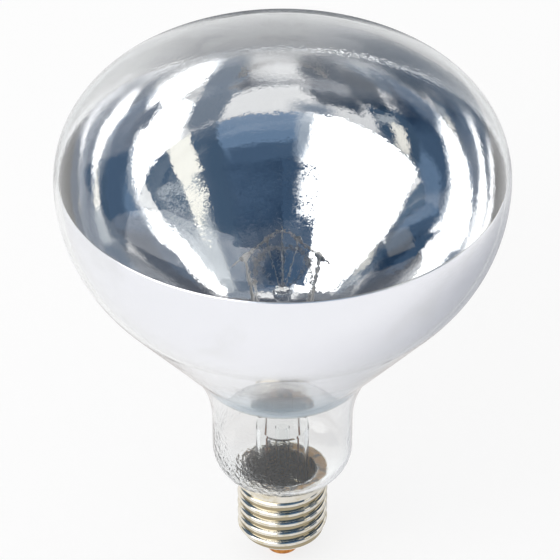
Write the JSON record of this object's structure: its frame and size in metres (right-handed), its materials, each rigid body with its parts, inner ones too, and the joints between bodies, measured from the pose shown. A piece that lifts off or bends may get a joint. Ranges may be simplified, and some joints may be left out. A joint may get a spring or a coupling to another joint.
{
  "type": "infrared heat lamp bulb",
  "caption": "Reflector heat lamp: clear domed glass front, mirrored bowl, clear neck with filament stem inside, and a plated screw cap with a foot contact.",
  "frame": {"origin": "on the lamp's axis, in the plane of the foot contact", "axes": "+Z along the axis from the cap to the crown; the filament's leads lie in the XZ plane, and -Y is the front of the picture"},
  "size_m": [0.125, 0.125, 0.1698],
  "materials": {
    "clear_glass": "clear blown glass",
    "mirror_coat": "vapour-coated aluminium film",
    "nickel_plate": "rolled brass, bright nickel plate",
    "black_glass": "fused black insulating glass",
    "contact_copper": "stamped, slightly tarnished",
    "solder": "dull tin solder",
    "cement": "baked brown capping cement",
    "stem_glass": "flame-worked glass",
    "nickel_wire": "drawn nickel wire",
    "copper_wire": "drawn copper wire",
    "support_wire": "drawn molybdenum wire",
    "tungsten": "coiled tungsten wire"
  },
  "bodies": {
    "root": {"envelope": "clear_glass", "reflector_coating": "mirror_coat", "screw_shell": "nickel_plate", "cap_insulator": "black_glass", "centre_contact": "contact_copper", "contact_solder": "solder", "side_solder": "solder", "capping_cement": "cement", "stem_flare": "stem_glass", "exhaust_tube": "stem_glass", "support_rod": "stem_glass", "lead_wire_left": "nickel_wire", "lead_wire_right": "nickel_wire", "seal_wire_left": "copper_wire", "seal_wire_right": "copper_wire", "outer_lead_centre": "copper_wire", "outer_lead_side": "copper_wire", "support_wire_left": "support_wire", "support_wire_right": "support_wire", "support_wire_tip": "support_wire", "filament": "tungsten"}
  },
  "joints": []
}
